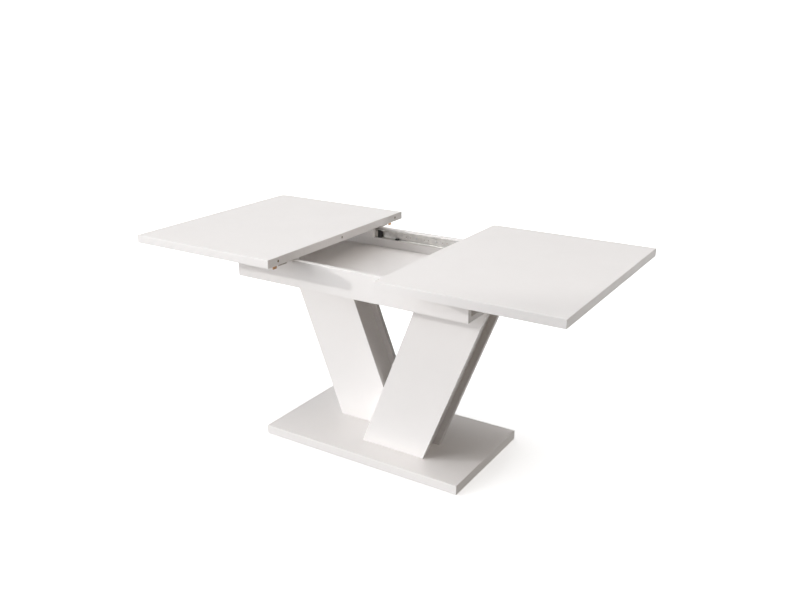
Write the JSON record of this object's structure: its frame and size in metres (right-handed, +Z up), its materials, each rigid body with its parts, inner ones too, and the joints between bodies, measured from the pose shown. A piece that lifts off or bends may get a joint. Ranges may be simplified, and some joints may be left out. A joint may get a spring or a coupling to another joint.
{
  "type": "extendable dining table",
  "caption": "Dining table whose two top halves slide apart on rails in an open box, on a base plate and two leaning box legs.",
  "frame": {"origin": "on the floor under the middle of the table", "axes": "+X towards the right half of the top, -Y towards the front, +Z up"},
  "size_m": [1.6, 0.8, 0.75],
  "materials": {
    "white_laminate": "satin white melamine on particle board",
    "raw_board": "raw particle board",
    "zinc_steel": "bright zinc-plated rolled sheet",
    "yellow_zinc": "yellow zinc-plated sheet",
    "bright_bolt": "bright steel",
    "black_plastic": "moulded black plastic",
    "grey_glide": "grey plastic glide",
    "beech_dowel": "beech dowel"
  },
  "bodies": {
    "root": {"back_apron": "white_laminate", "back_fixed_rail": "zinc_steel", "base_glide_back_left": "grey_glide", "base_glide_back_right": "grey_glide", "base_glide_front_left": "grey_glide", "base_glide_front_right": "grey_glide", "base_plate": "white_laminate", "box_bolt_left_back": "bright_bolt", "box_bolt_left_front": "bright_bolt", "box_bolt_right_back": "bright_bolt", "box_bolt_right_front": "bright_bolt", "box_floor": "white_laminate", "foot_bolt_left": "bright_bolt", "foot_bolt_right": "bright_bolt", "front_apron": "white_laminate", "front_fixed_rail": "zinc_steel", "leg_left_back_panel": "white_laminate", "leg_left_foot_block": "raw_board", "leg_left_front_panel": "white_laminate", "leg_left_head_block": "raw_board", "leg_left_inner_side": "white_laminate", "leg_left_outer_side": "white_laminate", "leg_right_back_panel": "white_laminate", "leg_right_foot_block": "raw_board", "leg_right_front_panel": "white_laminate", "leg_right_head_block": "raw_board", "leg_right_inner_side": "white_laminate", "leg_right_outer_side": "white_laminate"},
    "left_top": {"back_lock_plate": "zinc_steel", "front_lock_plate": "zinc_steel", "left_back_cleat": "white_laminate", "left_back_runner": "zinc_steel", "left_back_runner_stop": "black_plastic", "left_front_cleat": "white_laminate", "left_front_runner": "zinc_steel", "left_front_runner_stop": "black_plastic", "left_top": "white_laminate"},
    "right_top": {"alignment_pin_back": "beech_dowel", "alignment_pin_front": "beech_dowel", "alignment_pin_middle": "beech_dowel", "back_lock_catch": "zinc_steel", "front_lock_catch": "zinc_steel", "right_back_cleat": "white_laminate", "right_back_runner": "zinc_steel", "right_back_runner_stop": "black_plastic", "right_front_cleat": "white_laminate", "right_front_runner": "zinc_steel", "right_front_runner_stop": "black_plastic", "right_top": "white_laminate"},
    "back_lock_lever": {"back_lock_lever": "yellow_zinc"},
    "front_lock_lever": {"front_lock_lever": "yellow_zinc"},
    "left_back_middle": {"left_back_middle_rail": "zinc_steel", "left_back_rail_foot": "black_plastic"},
    "left_front_middle": {"left_front_middle_rail": "zinc_steel", "left_front_rail_foot": "black_plastic"},
    "right_back_middle": {"right_back_middle_rail": "zinc_steel", "right_back_rail_foot": "black_plastic"},
    "right_front_middle": {"right_front_middle_rail": "zinc_steel", "right_front_rail_foot": "black_plastic"}
  },
  "joints": [
    {"name": "left_top_slide", "type": "slide", "parent": "root", "child": "left_top", "axis": [1, 0, 0], "range_m": [-0.015, 0.1997]},
    {"name": "right_top_slide", "type": "slide", "parent": "root", "child": "right_top", "axis": [-1, 0, 0], "range_m": [-0.015, 0.1997]},
    {"name": "left_front_middle_slide", "type": "slide", "parent": "root", "child": "left_front_middle", "axis": [1, 0, 0], "range_m": [-0.0076, 0.0999]},
    {"name": "left_back_middle_slide", "type": "slide", "parent": "root", "child": "left_back_middle", "axis": [1, 0, 0], "range_m": [-0.0076, 0.0999]},
    {"name": "right_front_middle_slide", "type": "slide", "parent": "root", "child": "right_front_middle", "axis": [-1, 0, 0], "range_m": [-0.0076, 0.0999]},
    {"name": "right_back_middle_slide", "type": "slide", "parent": "root", "child": "right_back_middle", "axis": [-1, 0, 0], "range_m": [-0.0076, 0.0999]},
    {"name": "front_lock_swing", "type": "hinge", "parent": "left_top", "child": "front_lock_lever", "pos_m": [-0.23, -0.345, 0.7189], "axis": [0, 0, 1], "range_deg": [0, 180]},
    {"name": "back_lock_swing", "type": "hinge", "parent": "left_top", "child": "back_lock_lever", "pos_m": [-0.23, 0.345, 0.7189], "axis": [0, 0, -1], "range_deg": [0, 180]}
  ],
  "couplings": [
    {"joint": "left_front_middle_slide", "follows": "left_top_slide", "ratio": 0.5},
    {"joint": "left_back_middle_slide", "follows": "left_top_slide", "ratio": 0.5},
    {"joint": "right_front_middle_slide", "follows": "right_top_slide", "ratio": 0.5},
    {"joint": "right_back_middle_slide", "follows": "right_top_slide", "ratio": 0.5}
  ]
}
